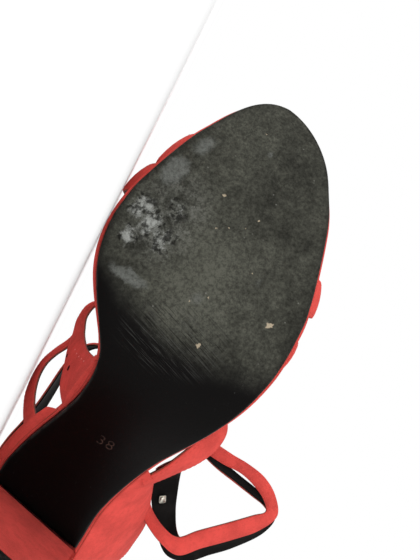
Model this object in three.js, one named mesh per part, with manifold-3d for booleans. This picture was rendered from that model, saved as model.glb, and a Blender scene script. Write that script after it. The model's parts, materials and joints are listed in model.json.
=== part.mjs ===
// A slack heeled sandal for the left foot, laid down on its inner side.
// The shoe is made in its own frame (fore = toe, side = outer side of the foot, up) and laid down last.
import * as THREE from 'three';
import { mergeVertices } from 'three/addons/utils/BufferGeometryUtils.js';
import Module from 'manifold-3d';

const wasm = await Module();
wasm.setup();

// Driving sizes in millimetres and degrees
const SOLE_LENGTH = 251;
const BALL_WIDTH = 81;
const HEEL_RISE = 68;
const SEAT_SLOPE = 17;
const TOE_SLOPE = 14;
const UPPER_HEIGHT = 60;
const OUTSOLE_THICKNESS = 3;
const INSOLE_THICKNESS = 3;
const EDGE_BEVEL = 0.7;
const LEATHER = 1.8;
const BINDING_THICKNESS = 1.3;
const BINDING_LIP = 0.5;
const BREAST_AT = 39;
const BREAST_SKEW = 10;
const HEEL_TIP_HEIGHT = 6;
const HEEL_TAPER = 0.86;
const HEEL_LEAN = 3;
const HEEL_WAIST = 0.05;
const VAMP_CROWN = 1;
const STRAP_CROWN = 0.7;
const COUNTER_CROWN = 2.5;
const STUD_SIDE = 3.6;
const STUD_HEIGHT = 1.2;
const STUD_AT = 0.21;
const STUD_ACROSS = 0.62;
const STUD_FACING = -1;
const GAP = 0.3;

// Mean densities in grams a cubic centimetre, which say how the shoe comes to lie
const SOLE_DENSITY = 1.2;
const HEEL_DENSITY = 1.05;
const LEATHER_DENSITY = 0.95;
const STUD_DENSITY = 7.8;

// Slope of the sole along its length: parts of the seat slope, of the shank slope and of the toe slope
const SLOPES = [
  { at: 0.000, seat: 1.00, shank: 0.00, toe: 0.00 },
  { at: 0.180, seat: 1.00, shank: 0.00, toe: 0.00 },
  { at: 0.260, seat: 0.55, shank: 0.45, toe: 0.00 },
  { at: 0.380, seat: 0.00, shank: 1.00, toe: 0.00 },
  { at: 0.500, seat: 0.00, shank: 0.72, toe: 0.00 },
  { at: 0.600, seat: 0.00, shank: 0.12, toe: 0.00 },
  { at: 0.635, seat: 0.00, shank: 0.00, toe: 0.00 },
  { at: 0.785, seat: 0.00, shank: 0.00, toe: 0.00 },
  { at: 0.905, seat: 0.00, shank: 0.00, toe: 0.64 },
  { at: 1.000, seat: 0.00, shank: 0.00, toe: 1.00 },
];
const TREAD_AT = 0.7;

// Plan outline of the sole: share of the length, and inner and outer edge as shares of the ball width
const OUTLINE = [
  { at: 0.00, inner: -0.300, outer: 0.175 },
  { at: 0.06, inner: -0.318, outer: 0.192 },
  { at: 0.12, inner: -0.334, outer: 0.200 },
  { at: 0.20, inner: -0.342, outer: 0.196 },
  { at: 0.24, inner: -0.321, outer: 0.212 },
  { at: 0.28, inner: -0.288, outer: 0.238 },
  { at: 0.32, inner: -0.250, outer: 0.266 },
  { at: 0.36, inner: -0.217, outer: 0.297 },
  { at: 0.40, inner: -0.195, outer: 0.336 },
  { at: 0.44, inner: -0.190, outer: 0.378 },
  { at: 0.48, inner: -0.207, outer: 0.420 },
  { at: 0.52, inner: -0.272, outer: 0.456 },
  { at: 0.56, inner: -0.358, outer: 0.482 },
  { at: 0.60, inner: -0.431, outer: 0.501 },
  { at: 0.64, inner: -0.474, outer: 0.508 },
  { at: 0.68, inner: -0.492, outer: 0.506 },
  { at: 0.72, inner: -0.489, outer: 0.487 },
  { at: 0.76, inner: -0.467, outer: 0.457 },
  { at: 0.80, inner: -0.438, outer: 0.423 },
  { at: 0.85, inner: -0.395, outer: 0.375 },
  { at: 0.90, inner: -0.340, outer: 0.306 },
  { at: 0.95, inner: -0.309, outer: 0.264 },
  { at: 1.00, inner: -0.296, outer: 0.222 },
];
const SEAT_SIDE = -0.062;
const TOE_SIDE = -0.074;
const SEAT_ROUND = 0.1;
const TOE_ROUND = 0.12;
const ROUNDNESS = 2.2;
const STATIONS = 50;

// Strap rows: share of the length, share of the ball width and share of the upper's height over the sole,
// first for the strap's lower edge and then for its upper edge
const INSTEP_STRAP = [
  [0.475, -0.207, 0.06, 0.360, -0.232, 0.06],
  [0.480, -0.245, 0.24, 0.390, -0.310, 0.34],
  [0.485, -0.290, 0.42, 0.430, -0.355, 0.54],
  [0.500, -0.340, 0.62, 0.470, -0.400, 0.72],
  [0.520, -0.385, 0.80, 0.500, -0.425, 0.86],
  [0.550, -0.425, 0.96, 0.530, -0.455, 0.98],
  [0.580, -0.410, 1.04, 0.565, -0.455, 1.08],
  [0.605, -0.300, 1.12, 0.590, -0.330, 1.20],
  [0.610, -0.120, 1.18, 0.590, -0.140, 1.28],
  [0.600, 0.120, 1.18, 0.580, 0.120, 1.28],
  [0.570, 0.350, 1.06, 0.550, 0.370, 1.16],
  [0.527, 0.500, 0.88, 0.522, 0.550, 0.98],
  [0.485, 0.500, 0.66, 0.494, 0.592, 0.78],
  [0.452, 0.450, 0.46, 0.455, 0.590, 0.68],
  [0.405, 0.400, 0.28, 0.405, 0.540, 0.54],
  [0.355, 0.350, 0.14, 0.348, 0.440, 0.36],
  [0.310, 0.290, 0.08, 0.300, 0.330, 0.16],
];
const MEDIAL_LOOP = [
  [0.490, -0.400, 0.78, 0.510, -0.412, 0.88],
  [0.470, -0.418, 0.80, 0.488, -0.432, 0.90],
  [0.440, -0.460, 0.84, 0.452, -0.482, 0.97],
  [0.408, -0.485, 0.85, 0.408, -0.522, 0.99],
  [0.370, -0.483, 0.80, 0.357, -0.525, 0.92],
  [0.337, -0.455, 0.70, 0.314, -0.500, 0.79],
  [0.312, -0.410, 0.55, 0.288, -0.453, 0.63],
  [0.298, -0.360, 0.40, 0.270, -0.400, 0.46],
  [0.288, -0.310, 0.22, 0.262, -0.348, 0.22],
];
const ANKLE_FRONT = [
  [0.020, -0.430, 0.78, 0.010, -0.400, 0.95],
  [0.110, -0.478, 0.88, 0.100, -0.440, 1.02],
  [0.195, -0.482, 1.00, 0.175, -0.428, 1.12],
  [0.240, -0.462, 1.05, 0.220, -0.402, 1.15],
  [0.290, -0.445, 1.13, 0.265, -0.395, 1.22],
  [0.355, -0.440, 1.29, 0.330, -0.400, 1.37],
  [0.422, -0.440, 1.51, 0.395, -0.408, 1.57],
  [0.475, -0.425, 1.69, 0.455, -0.397, 1.77],
  [0.510, -0.375, 1.80, 0.505, -0.350, 1.90],
  [0.528, -0.200, 1.80, 0.538, -0.190, 1.91],
  [0.522, 0.100, 1.70, 0.545, 0.100, 1.81],
  [0.480, 0.380, 1.50, 0.510, 0.400, 1.60],
  [0.430, 0.600, 1.30, 0.465, 0.640, 1.38],
  [0.422, 0.780, 1.22, 0.458, 0.800, 1.31],
  [0.426, 0.910, 1.18, 0.458, 0.930, 1.27],
  [0.416, 1.020, 1.13, 0.450, 1.060, 1.22],
  [0.397, 1.110, 1.05, 0.424, 1.166, 1.13],
  [0.374, 1.150, 0.96, 0.380, 1.232, 0.99],
  [0.348, 1.080, 0.84, 0.323, 1.166, 0.82],
  [0.302, 0.960, 0.71, 0.272, 1.037, 0.69],
  [0.252, 0.812, 0.60, 0.225, 0.885, 0.58],
  [0.222, 0.722, 0.54, 0.192, 0.775, 0.52],
  [0.222, 0.635, 0.57, 0.198, 0.630, 0.50],
  [0.235, 0.535, 0.64, 0.218, 0.485, 0.57],
  [0.252, 0.470, 0.67, 0.234, 0.405, 0.57],
];
const ANKLE_BACK = [
  [0.395, 0.440, 0.36, 0.335, 0.350, 0.30],
  [0.372, 0.520, 0.74, 0.318, 0.400, 0.60],
  [0.340, 0.578, 1.00, 0.290, 0.450, 0.84],
  [0.297, 0.630, 0.98, 0.252, 0.500, 0.84],
  [0.250, 0.690, 0.88, 0.214, 0.590, 0.80],
  [0.214, 0.770, 0.76, 0.168, 0.760, 0.76],
  [0.214, 0.850, 0.74, 0.176, 0.900, 0.78],
  [0.240, 0.940, 0.77, 0.210, 1.010, 0.82],
  [0.280, 1.050, 0.83, 0.248, 1.125, 0.88],
  [0.340, 1.190, 0.96, 0.318, 1.260, 1.02],
  [0.366, 1.210, 1.04, 0.372, 1.262, 1.10],
  [0.382, 1.150, 1.08, 0.402, 1.170, 1.18],
  [0.388, 1.060, 1.12, 0.410, 1.070, 1.24],
  [0.396, 0.920, 1.16, 0.418, 0.920, 1.30],
  [0.404, 0.760, 1.20, 0.430, 0.770, 1.34],
  [0.420, 0.600, 1.26, 0.455, 0.620, 1.40],
];
const TOE_STRAP = [
  [0.800, -0.440, 0.08, 0.865, -0.380, 0.08],
  [0.795, -0.490, 0.22, 0.865, -0.428, 0.20],
  [0.770, -0.420, 0.44, 0.845, -0.350, 0.38],
  [0.745, -0.220, 0.62, 0.815, -0.160, 0.55],
  [0.715, 0.000, 0.70, 0.780, 0.050, 0.64],
  [0.680, 0.230, 0.70, 0.745, 0.270, 0.62],
  [0.645, 0.440, 0.56, 0.702, 0.460, 0.46],
  [0.620, 0.545, 0.32, 0.672, 0.555, 0.24],
  [0.610, 0.510, 0.08, 0.662, 0.512, 0.08],
];
const BALL_STRAP = [
  [0.725, -0.492, 0.08, 0.785, -0.452, 0.08],
  [0.725, -0.543, 0.22, 0.785, -0.500, 0.20],
  [0.735, -0.450, 0.50, 0.795, -0.410, 0.42],
  [0.745, -0.220, 0.66, 0.805, -0.190, 0.58],
  [0.750, 0.020, 0.70, 0.812, 0.030, 0.62],
  [0.745, 0.250, 0.64, 0.805, 0.240, 0.56],
  [0.730, 0.470, 0.44, 0.790, 0.430, 0.36],
  [0.715, 0.562, 0.24, 0.775, 0.512, 0.22],
  [0.705, 0.498, 0.08, 0.765, 0.452, 0.08],
];

// Heel counter: where its foot stands on the sole's edge, and its top edge as in the strap rows
const COUNTER = [
  { side: -1, foot: 0.335, at: 0.335, across: -0.290, rise: 0.14 },
  { side: -1, foot: 0.290, at: 0.285, across: -0.345, rise: 0.19 },
  { side: -1, foot: 0.240, at: 0.232, across: -0.378, rise: 0.22 },
  { side: -1, foot: 0.180, at: 0.168, across: -0.395, rise: 0.30 },
  { side: -1, foot: 0.120, at: 0.100, across: -0.440, rise: 0.66 },
  { side: -1, foot: 0.060, at: 0.040, across: -0.430, rise: 0.86 },
  { side: -1, foot: 0.018, at: -0.010, across: -0.330, rise: 0.90 },
  { side: 1, foot: 0.000, at: -0.038, across: -0.080, rise: 0.92 },
  { side: 1, foot: 0.018, at: -0.020, across: 0.230, rise: 0.94 },
  { side: 1, foot: 0.060, at: 0.040, across: 0.450, rise: 0.94 },
  { side: 1, foot: 0.105, at: 0.105, across: 0.550, rise: 0.90 },
  { side: 1, foot: 0.150, at: 0.155, across: 0.555, rise: 0.82 },
  { side: 1, foot: 0.205, at: 0.210, across: 0.530, rise: 0.68 },
  { side: 1, foot: 0.250, at: 0.256, across: 0.470, rise: 0.62 },
  { side: 1, foot: 0.295, at: 0.297, across: 0.405, rise: 0.48 },
  { side: 1, foot: 0.325, at: 0.326, across: 0.348, rise: 0.24 },
];

// A table column at any share, by a curve that never overshoots its rows
function along(rows, column, at) {
  const last = rows.length - 1;
  let row = 0;
  while (row < last - 1 && at > rows[row + 1].at) row += 1;
  const step = (k) => (rows[k + 1][column] - rows[k][column]) / (rows[k + 1].at - rows[k].at);
  const lean = (k) => {
    if (k === 0) return step(0);
    if (k === last) return step(last - 1);
    const product = step(k - 1) * step(k);
    return product <= 0 ? 0 : (2 * product) / (step(k - 1) + step(k));
  };
  const span = rows[row + 1].at - rows[row].at;
  const t = (at - rows[row].at) / span;
  const start = rows[row][column];
  const end = rows[row + 1][column];
  return start * (1 + 2 * t) * (1 - t) ** 2 + end * t * t * (3 - 2 * t)
    + span * (lean(row) * t * (1 - t) ** 2 - lean(row + 1) * t * t * (1 - t));
}

// The sole's long curve, walked in small steps from the back of the seat to the toe
const WALK = 251;

function walkSole(shankSlope) {
  const path = [{ fore: 0, up: 0, slope: THREE.MathUtils.degToRad(SEAT_SLOPE) }];
  for (let i = 1; i <= WALK; i += 1) {
    const at = (i - 0.5) / WALK;
    const degrees = SEAT_SLOPE * along(SLOPES, 'seat', at)
      + shankSlope * along(SLOPES, 'shank', at) - TOE_SLOPE * along(SLOPES, 'toe', at);
    const slope = THREE.MathUtils.degToRad(degrees);
    const step = SOLE_LENGTH / WALK;
    const last = path[i - 1];
    path.push({ fore: last.fore + step * Math.cos(slope), up: last.up - step * Math.sin(slope), slope });
  }
  const tread = path[Math.round(TREAD_AT * WALK)].up;
  for (const spot of path) spot.up -= tread;
  return path;
}

function solveSole() {
  let low = 0;
  let high = 80;
  for (let i = 0; i < 40; i += 1) {
    const middle = (low + high) / 2;
    if (walkSole(middle)[0].up > HEEL_RISE) high = middle;
    else low = middle;
  }
  return walkSole(low);
}

const SOLE = solveSole();

function soleAt(at) {
  const place = THREE.MathUtils.clamp(at, 0, 1) * WALK;
  const row = Math.min(Math.floor(place), WALK - 1);
  const t = place - row;
  const mix = (column) => SOLE[row][column] * (1 - t) + SOLE[row + 1][column] * t;
  const beyond = (at - THREE.MathUtils.clamp(at, 0, 1)) * SOLE_LENGTH;
  const slope = mix('slope');
  return { fore: mix('fore') + beyond * Math.cos(slope), up: mix('up') - beyond * Math.sin(slope), slope };
}

// Distance of the sole's edge from the middle line, round at the seat and the toe
function edgeSide(side, at) {
  const square = along(OUTLINE, side < 0 ? 'inner' : 'outer', at);
  const middle = at > 0.5 ? TOE_SIDE : SEAT_SIDE;
  const inRound = Math.max(0, (at - 1) / TOE_ROUND + 1, 1 - at / SEAT_ROUND);
  const width = Math.sqrt(Math.max(0, 1 - inRound ** ROUNDNESS));
  return BALL_WIDTH * (middle + (square - middle) * width);
}

// A point over the sole: share of the length, distance to the side and height square to the sole
function overSole(at, side, height) {
  const { fore, up, slope } = soleAt(at);
  return new THREE.Vector3(fore + height * Math.sin(slope), side, up + height * Math.cos(slope));
}

// A point of a strap row
function strapPoint(at, across, rise) {
  const { fore, up } = soleAt(at);
  return new THREE.Vector3(fore, across * BALL_WIDTH, up + rise * UPPER_HEIGHT);
}

const stationAt = (i) => (1 - Math.cos((Math.PI * i) / STATIONS)) / 2;

// A point outside the sole's edge, pushed out square to the outline in plan
function rimPoint(side, at, out, height) {
  const near = 0.004;
  const back = Math.max(0, at - near);
  const front = Math.min(1, at + near);
  const run = (front - back) * SOLE_LENGTH;
  const drift = edgeSide(side, front) - edgeSide(side, back);
  const push = (side * out) / Math.hypot(run, drift);
  return overSole(at - (push * drift) / SOLE_LENGTH, edgeSide(side, at) + push * run, height);
}

// Turns a list of triangles into a closed mesh that faces out
function solidOf(points, triangles) {
  const geometry = new THREE.BufferGeometry();
  const flat = new Float32Array(points.length * 3);
  points.forEach((point, i) => point.toArray(flat, i * 3));
  geometry.setAttribute('position', new THREE.BufferAttribute(flat, 3));
  let volume = 0;
  for (const [a, b, c] of triangles) {
    volume += points[a].dot(new THREE.Vector3().crossVectors(points[b], points[c]));
  }
  const order = volume > 0 ? triangles : triangles.map(([a, b, c]) => [a, c, b]);
  geometry.setIndex(order.flat());
  return geometry;
}

function toManifold(geometry) {
  const bare = geometry.clone();
  bare.deleteAttribute('normal');
  bare.deleteAttribute('uv');
  const merged = mergeVertices(bare, 1e-4);
  const vertProperties = new Float32Array(merged.attributes.position.array);
  const triVerts = new Uint32Array(merged.index.array);
  return new wasm.Manifold(new wasm.Mesh({ numProp: 3, vertProperties, triVerts }));
}

function fromManifold(solid) {
  const mesh = solid.getMesh();
  const geometry = new THREE.BufferGeometry();
  geometry.setAttribute('position', new THREE.BufferAttribute(new Float32Array(mesh.vertProperties), 3));
  geometry.setIndex([...mesh.triVerts]);
  return geometry;
}

// A solid lofted through closed rings of equally many points, with flat ends
function loft(rings) {
  const count = rings[0].length;
  const points = rings.flat();
  const triangles = [];
  for (let r = 0; r < rings.length - 1; r += 1) {
    for (let k = 0; k < count; k += 1) {
      const next = (k + 1) % count;
      const a = r * count + k;
      const b = r * count + next;
      triangles.push([a, b, b + count], [a, b + count, a + count]);
    }
  }
  const last = (rings.length - 1) * count;
  const start = points.length;
  const centre = (ring) => ring.reduce((sum, p) => sum.add(p), new THREE.Vector3()).divideScalar(count);
  points.push(centre(rings[0]), centre(rings[rings.length - 1]));
  for (let k = 0; k < count; k += 1) {
    const next = (k + 1) % count;
    triangles.push([start, next, k], [start + 1, last + k, last + next]);
  }
  return solidOf(points, triangles);
}

// A layer of the sole between two heights, with a bevel along its lower edge
function soleLayer(low, high, bevel) {
  const rings = [];
  for (let i = 1; i < STATIONS; i += 1) {
    const at = stationAt(i);
    const inner = edgeSide(-1, at);
    const outer = edgeSide(1, at);
    const cut = Math.min(bevel, (outer - inner) / 3);
    rings.push([
      overSole(at, inner, low + cut), overSole(at, inner + cut, low), overSole(at, outer - cut, low),
      overSole(at, outer, low + cut), overSole(at, outer, high), overSole(at, inner, high),
    ]);
  }
  return loft(rings);
}

// The two edges of a strip and its directions at a share of its run
function stripAt(lowCurve, highCurve, share) {
  const low = lowCurve.getPoint(share);
  const high = highCurve.getPoint(share);
  const tangent = lowCurve.getTangent(share).add(highCurve.getTangent(share)).normalize();
  const normal = new THREE.Vector3().crossVectors(tangent, high.clone().sub(low)).normalize();
  return { low, high, tangent, normal };
}

const smoothCurve = (points, closed) => new THREE.CatmullRomCurve3(points, closed, 'centripetal');

// A strap or panel between a lower and an upper edge, crowned across and of even thickness
function sheet(lower, upper, { steps, across = 2, crown = 0, thickness = LEATHER, closed = false }) {
  const lowCurve = smoothCurve(lower, closed);
  const highCurve = smoothCurve(upper, closed);
  const rows = closed ? steps : steps + 1;
  const middle = [];
  for (let i = 0; i < rows; i += 1) {
    const { low, high, normal } = stripAt(lowCurve, highCurve, i / steps);
    const row = [];
    for (let k = 0; k <= across; k += 1) {
      const w = k / across;
      const point = low.clone().lerp(high, w).addScaledVector(normal, 4 * crown * w * (1 - w));
      row.push({ point, normal });
    }
    middle.push(row);
  }
  const points = [];
  for (const side of [1, -1]) {
    for (const row of middle) {
      for (const { point, normal } of row) points.push(point.clone().addScaledVector(normal, side * thickness / 2));
    }
  }
  const wide = across + 1;
  const back = rows * wide;
  const triangles = [];
  const quad = (a, b, c, d) => triangles.push([a, b, c], [a, c, d]);
  for (let i = 0; i < steps; i += 1) {
    const here = i * wide;
    const next = ((i + 1) % rows) * wide;
    for (let k = 0; k < across; k += 1) {
      quad(here + k, next + k, next + k + 1, here + k + 1);
      quad(back + here + k, back + here + k + 1, back + next + k + 1, back + next + k);
    }
    quad(here, back + here, back + next, next);
    quad(here + across, next + across, back + next + across, back + here + across);
  }
  if (!closed) {
    const end = (rows - 1) * wide;
    for (let k = 0; k < across; k += 1) {
      quad(k, k + 1, back + k + 1, back + k);
      quad(end + k, back + end + k, back + end + k + 1, end + k + 1);
    }
  }
  return solidOf(points, triangles);
}

const lowerEdge = (rows) => rows.map((row) => strapPoint(row[0], row[1], row[2]));
const upperEdge = (rows) => rows.map((row) => strapPoint(row[3], row[4], row[5]));

function strap(rows, crown) {
  return sheet(lowerEdge(rows), upperEdge(rows), { steps: 2 * (rows.length - 1), crown });
}

// The breast of the heel: a slab in front of it or behind it, cutting square across the heel's own line
function breastSlab(inFront, clearance) {
  const reach = 2 * SOLE_LENGTH;
  const slab = new THREE.BoxGeometry(reach, reach, reach);
  const shift = reach / 2 + clearance;
  slab.translate(inFront ? shift : -shift, 0, 0);
  slab.rotateZ(THREE.MathUtils.degToRad(BREAST_SKEW));
  slab.translate(soleAt(BREAST_AT / SOLE_LENGTH).fore, 0, 0);
  return toManifold(slab);
}

// One level of the heel block: the seat's outline drawn in towards the tip
function heelRing(level, height) {
  const ring = [];
  const half = 14;
  const reach = 0.23;
  const centreFore = soleAt(0.09).fore;
  const shrink = (HEEL_TAPER + (1 - HEEL_TAPER) * level) * (1 - HEEL_WAIST * Math.sin(Math.PI * level));
  for (let i = -half; i <= half; i += 1) {
    const at = reach * (Math.abs(i) / half) ** 2;
    const seat = overSole(at, edgeSide(i < 0 ? -1 : 1, at), OUTSOLE_THICKNESS);
    const fore = centreFore + (seat.x - centreFore) * shrink + HEEL_LEAN * (1 - level);
    const side = SEAT_SIDE * BALL_WIDTH + (seat.y - SEAT_SIDE * BALL_WIDTH) * shrink;
    ring.push(new THREE.Vector3(fore, side, height === null ? seat.z : height));
  }
  return ring;
}

function makeHeel() {
  const low = HEEL_TIP_HEIGHT + GAP;
  const top = heelRing(1, null);
  const rings = [0, 0.2, 0.4, 0.6, 0.8].map((level) => heelRing(level, null).map((point) => {
    const lifted = point.clone();
    lifted.z = low + (point.z - low) * level;
    return lifted;
  }));
  rings.push(top);
  return fromManifold(toManifold(loft(rings)).intersect(breastSlab(false, 0)));
}

function makeHeelTip() {
  const block = toManifold(loft([heelRing(0, 0), heelRing(0, HEEL_TIP_HEIGHT)]));
  return fromManifold(block.intersect(breastSlab(false, 0)));
}

function makeOutsole() {
  const layer = toManifold(soleLayer(0, OUTSOLE_THICKNESS, EDGE_BEVEL));
  return fromManifold(layer.intersect(breastSlab(true, GAP)));
}

function makeInsole() {
  const low = OUTSOLE_THICKNESS + GAP;
  return soleLayer(low, low + INSOLE_THICKNESS, 0.01);
}

// The binding round the insole's edge, which every strap and panel is joined to
function makeBinding() {
  const low = [];
  const high = [];
  const out = GAP + BINDING_THICKNESS / 2;
  const top = OUTSOLE_THICKNESS + GAP + INSOLE_THICKNESS + BINDING_LIP;
  const place = (side, i) => {
    low.push(rimPoint(side, stationAt(i), out, OUTSOLE_THICKNESS + GAP / 2));
    high.push(rimPoint(side, stationAt(i), out, top));
  };
  for (let i = 1; i < STATIONS; i += 1) place(1, i);
  for (let i = STATIONS - 1; i > 0; i -= 1) place(-1, i);
  return sheet(low, high, { steps: low.length, across: 1, thickness: BINDING_THICKNESS, closed: true });
}

function makeCounter() {
  const foot = GAP + LEATHER / 2;
  const low = COUNTER.map((row) => rimPoint(row.side, row.foot, foot, OUTSOLE_THICKNESS + GAP));
  const high = COUNTER.map((row) => strapPoint(row.at, row.across, row.rise));
  return sheet(low, high, { steps: 2 * (COUNTER.length - 1), across: 3, crown: -COUNTER_CROWN });
}

function makeUpper() {
  const pieces = [
    makeCounter(),
    strap(INSTEP_STRAP, VAMP_CROWN),
    strap(MEDIAL_LOOP, -STRAP_CROWN),
    strap(ANKLE_FRONT, STRAP_CROWN),
    strap(ANKLE_BACK, STRAP_CROWN),
    strap(TOE_STRAP, -VAMP_CROWN),
    strap(BALL_STRAP, -VAMP_CROWN),
  ];
  let upper = toManifold(makeBinding());
  for (const piece of pieces) upper = upper.add(toManifold(piece));
  const inside = toManifold(soleLayer(0, OUTSOLE_THICKNESS + GAP + INSOLE_THICKNESS + GAP, 0));
  return fromManifold(upper.subtract(inside));
}

// The small square stud on the lining of the rear ankle strap
function makeStud() {
  const run = stripAt(smoothCurve(lowerEdge(ANKLE_BACK)), smoothCurve(upperEdge(ANKLE_BACK)), STUD_AT);
  const { low, high, tangent, normal } = run;
  const facing = normal.clone().multiplyScalar(STUD_FACING);
  const lift = (LEATHER + STUD_HEIGHT) / 2 + GAP;
  const place = new THREE.Matrix4().makeBasis(tangent, facing.clone().cross(tangent), facing);
  place.setPosition(low.clone().lerp(high, STUD_ACROSS).addScaledVector(facing, lift));
  return new THREE.BoxGeometry(STUD_SIDE, STUD_SIDE, STUD_HEIGHT).applyMatrix4(place);
}

const group = new THREE.Group();

function addPiece(name, geometry, density, color, roughness, metalness = 0) {
  const material = new THREE.MeshStandardMaterial({ color, roughness, metalness });
  const mesh = new THREE.Mesh(geometry, material);
  mesh.name = name;
  mesh.userData.density = density;
  group.add(mesh);
}

addPiece('outsole', makeOutsole(), SOLE_DENSITY, 0x1b1a18, 0.6);
addPiece('insole', makeInsole(), SOLE_DENSITY, 0x1a1817, 0.7);
addPiece('heel', makeHeel(), HEEL_DENSITY, 0xc9403a, 0.85);
addPiece('heel_tip', makeHeelTip(), SOLE_DENSITY, 0x151413, 0.6);
addPiece('upper', makeUpper(), LEATHER_DENSITY, 0xd9473d, 0.9);
addPiece('stud', makeStud(), STUD_DENSITY, 0xc9c3b4, 0.35, 1);

// Every corner of the shoe, and its centre of mass
function weigh() {
  const corners = [];
  const centre = new THREE.Vector3();
  let mass = 0;
  for (const { geometry, userData } of group.children) {
    const place = geometry.attributes.position;
    const first = corners.length;
    for (let i = 0; i < place.count; i += 1) corners.push(new THREE.Vector3().fromBufferAttribute(place, i));
    for (let i = 0; i < geometry.index.count; i += 3) {
      const [a, b, c] = [0, 1, 2].map((k) => corners[first + geometry.index.getX(i + k)]);
      const share = userData.density * a.dot(new THREE.Vector3().crossVectors(b, c));
      centre.addScaledVector(a, share / 4).addScaledVector(b, share / 4).addScaledVector(c, share / 4);
      mass += share;
    }
  }
  return { corners, centre: centre.divideScalar(mass) };
}

// Tips the shoe over its touching points towards one side until another corner touches the floor
function tip(corners, up, pivot, towards) {
  let least = Infinity;
  let touched = pivot;
  for (const corner of corners) {
    const arm = corner.clone().sub(pivot);
    const reach = arm.dot(towards);
    if (reach < 1) continue;
    const slant = Math.max(0, arm.dot(up)) / reach;
    if (slant < least) {
      least = slant;
      touched = corner;
    }
  }
  up.addScaledVector(towards, -least).normalize();
  return touched;
}

// The side on which the centre of mass lies off a pivot, or off a line of two points
function leaning(centre, up, pivot, second) {
  const off = centre.clone().sub(pivot).projectOnPlane(up);
  if (second) off.projectOnPlane(second.clone().sub(pivot).normalize());
  return off.normalize();
}

// The touching points the centre of mass lies beyond, or none when it lies between all three
function openSide(centre, up, feet) {
  return feet.map((foot, i) => [foot, feet[(i + 1) % 3], feet[(i + 2) % 3]]).find(([from, to, other]) => {
    const outward = leaning(other, up, from, to).negate();
    return centre.clone().sub(from).dot(outward) > 0;
  });
}

// Lays the shoe down on its inner side as it would come to rest, over the middle of its own floor plan
function layDown() {
  const { corners, centre } = weigh();
  const up = new THREE.Vector3(0, 1, 0);
  const lowest = corners.reduce((low, corner) => (corner.y < low.y ? corner : low));
  const second = tip(corners, up, lowest, leaning(centre, up, lowest));
  let feet = [lowest, second, tip(corners, up, lowest, leaning(centre, up, lowest, second))];
  let open = openSide(centre, up, feet);
  while (open) {
    const [from, to] = open;
    feet = [from, to, tip(corners, up, from, leaning(centre, up, from, to))];
    open = openSide(centre, up, feet);
  }
  const rear = new THREE.Vector3(-1, 0, 0).projectOnPlane(up).normalize();
  const turn = new THREE.Matrix4().makeBasis(rear, up.clone().cross(rear), up).transpose();
  group.applyMatrix4(turn);
  group.updateMatrixWorld(true);
  const box = new THREE.Box3().setFromObject(group, true);
  group.position.set(-(box.min.x + box.max.x) / 2, -(box.min.y + box.max.y) / 2, -box.min.z);
}

layDown();

export default group;
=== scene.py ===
import json
import math

import bmesh
import bpy
import numpy as np
from bpy.props import FloatProperty, FloatVectorProperty, IntProperty, PointerProperty
from mathutils import Matrix

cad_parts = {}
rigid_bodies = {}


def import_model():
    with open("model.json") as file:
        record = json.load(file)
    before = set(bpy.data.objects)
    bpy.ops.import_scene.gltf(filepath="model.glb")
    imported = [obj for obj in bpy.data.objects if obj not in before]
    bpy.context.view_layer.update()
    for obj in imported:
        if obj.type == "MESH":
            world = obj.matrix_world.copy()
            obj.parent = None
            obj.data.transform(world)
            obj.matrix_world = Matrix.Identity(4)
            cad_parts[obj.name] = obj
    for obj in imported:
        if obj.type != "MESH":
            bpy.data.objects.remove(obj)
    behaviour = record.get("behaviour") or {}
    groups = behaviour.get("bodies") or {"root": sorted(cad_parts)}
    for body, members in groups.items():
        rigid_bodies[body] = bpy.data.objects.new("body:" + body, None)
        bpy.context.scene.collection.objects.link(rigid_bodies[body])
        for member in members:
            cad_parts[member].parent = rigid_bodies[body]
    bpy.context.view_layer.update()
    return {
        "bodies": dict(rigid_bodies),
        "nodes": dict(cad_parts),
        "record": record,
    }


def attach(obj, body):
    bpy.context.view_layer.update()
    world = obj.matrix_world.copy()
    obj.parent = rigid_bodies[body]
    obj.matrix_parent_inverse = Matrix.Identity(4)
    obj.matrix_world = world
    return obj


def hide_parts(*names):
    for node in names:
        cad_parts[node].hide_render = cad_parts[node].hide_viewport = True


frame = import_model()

bl_info = {
    "name": "Heeled strap sandal",
    "version": (1, 0, 0),
    "blender": (4, 5, 0),
    "location": "View3D > Sidebar > Sandal",
    "description": "A red suede heeled sandal lying on its side, with a worn black sole",
    "category": "Add Mesh",
}

BODY = next(iter(frame["bodies"]))

# The shoe stands upright in its own frame: fore towards the toe, side towards the foot's outer side, and
# up. In the row frame it lies as the heel tip's flat face says, with its length square to the row's Y.
TIP_FACE = next(mount for mount in frame["record"]["mounts"] if mount["name"] == "tip_face")
TIP_POINT = np.array([24.0, -5.5, 0.0])
UP = -np.array(TIP_FACE["axis"]) / np.linalg.norm(TIP_FACE["axis"])
FORE = np.cross(UP, (0, 1, 0)) / np.linalg.norm(np.cross(UP, (0, 1, 0)))
LAID = np.array([FORE, np.cross(UP, FORE), UP])
PLACE = np.array(TIP_FACE["pos_m"]) * 1000 - TIP_POINT @ LAID

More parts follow.
